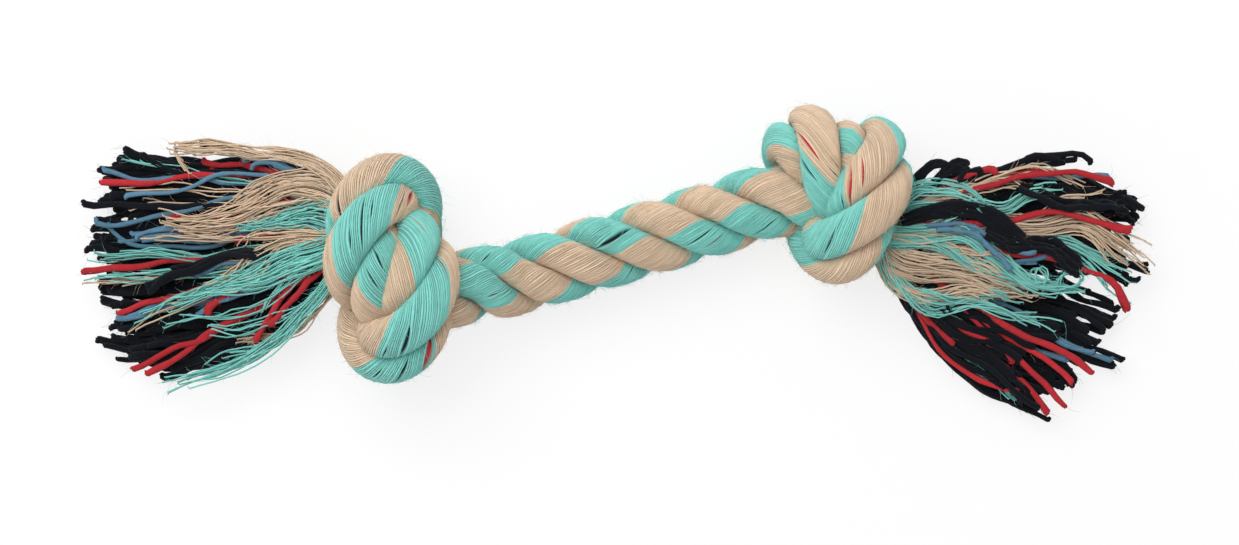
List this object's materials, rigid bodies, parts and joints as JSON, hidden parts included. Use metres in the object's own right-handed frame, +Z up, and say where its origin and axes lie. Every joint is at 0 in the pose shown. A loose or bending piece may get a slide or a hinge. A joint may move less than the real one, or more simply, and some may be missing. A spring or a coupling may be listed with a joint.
{
  "type": "rope dog toy",
  "caption": "Short length of thick laid rope with an overhand knot near each end and a frayed, fanned-out tassel past each knot.",
  "frame": {"origin": "middle of the toy's outline in plan, on the surface that it lies on", "axes": "+X along the toy from the left tassel to the right one, +Y across it as it lies, +Z up"},
  "size_m": [0.3094, 0.094, 0.0437],
  "materials": {
    "mint_yarn": "soft twisted cotton, mint",
    "beige_yarn": "soft twisted cotton, beige",
    "black_yarn": "soft twisted cotton, black",
    "red_yarn": "soft twisted cotton, red",
    "blue_yarn": "soft twisted cotton, steel blue"
  },
  "bodies": {
    "middle": {"middle_strand_1": "mint_yarn", "middle_strand_2": "beige_yarn", "middle_strand_3": "mint_yarn", "middle_core_1": "black_yarn", "middle_core_2": "black_yarn", "middle_core_3": "black_yarn", "left_neck_strand_1": "mint_yarn", "left_neck_strand_2": "beige_yarn", "left_neck_strand_3": "mint_yarn", "right_neck_strand_1": "mint_yarn", "right_neck_strand_2": "beige_yarn", "right_neck_strand_3": "mint_yarn"},
    "left_knot": {"left_knot_strand_1": "mint_yarn", "left_knot_strand_2": "beige_yarn", "left_knot_strand_3": "mint_yarn", "left_knot_core_1": "black_yarn", "left_knot_core_2": "black_yarn", "left_knot_core_3": "black_yarn"},
    "right_knot": {"right_knot_strand_1": "mint_yarn", "right_knot_strand_2": "beige_yarn", "right_knot_strand_3": "mint_yarn", "right_knot_core_1": "black_yarn", "right_knot_core_2": "black_yarn", "right_knot_core_3": "black_yarn"},
    "left_tassel": {"left_tassel_mint_1": "mint_yarn", "left_tassel_mint_2": "mint_yarn", "left_tassel_mint_3": "mint_yarn", "left_tassel_beige_1": "beige_yarn", "left_tassel_beige_2": "beige_yarn", "left_tassel_beige_3": "beige_yarn", "left_tassel_black_1": "black_yarn", "left_tassel_black_2": "black_yarn", "left_tassel_black_3": "black_yarn", "left_tassel_red_1": "red_yarn", "left_tassel_red_2": "red_yarn", "left_tassel_red_3": "red_yarn", "left_tassel_blue_1": "blue_yarn", "left_tassel_blue_2": "blue_yarn", "left_tassel_blue_3": "blue_yarn"},
    "right_tassel": {"right_tassel_mint_1": "mint_yarn", "right_tassel_mint_2": "mint_yarn", "right_tassel_mint_3": "mint_yarn", "right_tassel_beige_1": "beige_yarn", "right_tassel_beige_2": "beige_yarn", "right_tassel_beige_3": "beige_yarn", "right_tassel_black_1": "black_yarn", "right_tassel_black_2": "black_yarn", "right_tassel_black_3": "black_yarn", "right_tassel_red_1": "red_yarn", "right_tassel_red_2": "red_yarn", "right_tassel_red_3": "red_yarn", "right_tassel_blue_1": "blue_yarn", "right_tassel_blue_2": "blue_yarn", "right_tassel_blue_3": "blue_yarn"}
  },
  "joints": [
    {"name": "left_bend", "type": "hinge", "parent": "middle", "child": "left_knot", "pos_m": [-0.03531, -0.00643, 0.01325], "axis": [0, 0, 1], "range_deg": [-35, 35], "deforming": ["left_neck_strand_1", "left_neck_strand_2", "left_neck_strand_3"]},
    {"name": "right_bend", "type": "hinge", "parent": "middle", "child": "right_knot", "pos_m": [0.03975, 0.01621, 0.01377], "axis": [0, 0, 1], "range_deg": [-35, 35], "deforming": ["right_neck_strand_1", "right_neck_strand_2", "right_neck_strand_3"]},
    {"name": "left_tassel_swing", "type": "hinge", "parent": "left_knot", "child": "left_tassel", "pos_m": [-0.08222, 0.00952, 0.01918], "axis": [0, 0, 1], "range_deg": [-30, 30], "deforming": ["left_tassel_mint_1", "left_tassel_mint_2", "left_tassel_mint_3", "left_tassel_beige_1", "left_tassel_beige_2", "left_tassel_beige_3", "left_tassel_black_1", "left_tassel_black_2", "left_tassel_black_3", "left_tassel_red_1", "left_tassel_red_2", "left_tassel_red_3", "left_tassel_blue_1", "left_tassel_blue_2", "left_tassel_blue_3"]},
    {"name": "right_tassel_swing", "type": "hinge", "parent": "right_knot", "child": "right_tassel", "pos_m": [0.08323, 0.01415, 0.02189], "axis": [0, 0, 1], "range_deg": [-30, 30], "deforming": ["right_tassel_mint_1", "right_tassel_mint_2", "right_tassel_mint_3", "right_tassel_beige_1", "right_tassel_beige_2", "right_tassel_beige_3", "right_tassel_black_1", "right_tassel_black_2", "right_tassel_black_3", "right_tassel_red_1", "right_tassel_red_2", "right_tassel_red_3", "right_tassel_blue_1", "right_tassel_blue_2", "right_tassel_blue_3"]}
  ]
}
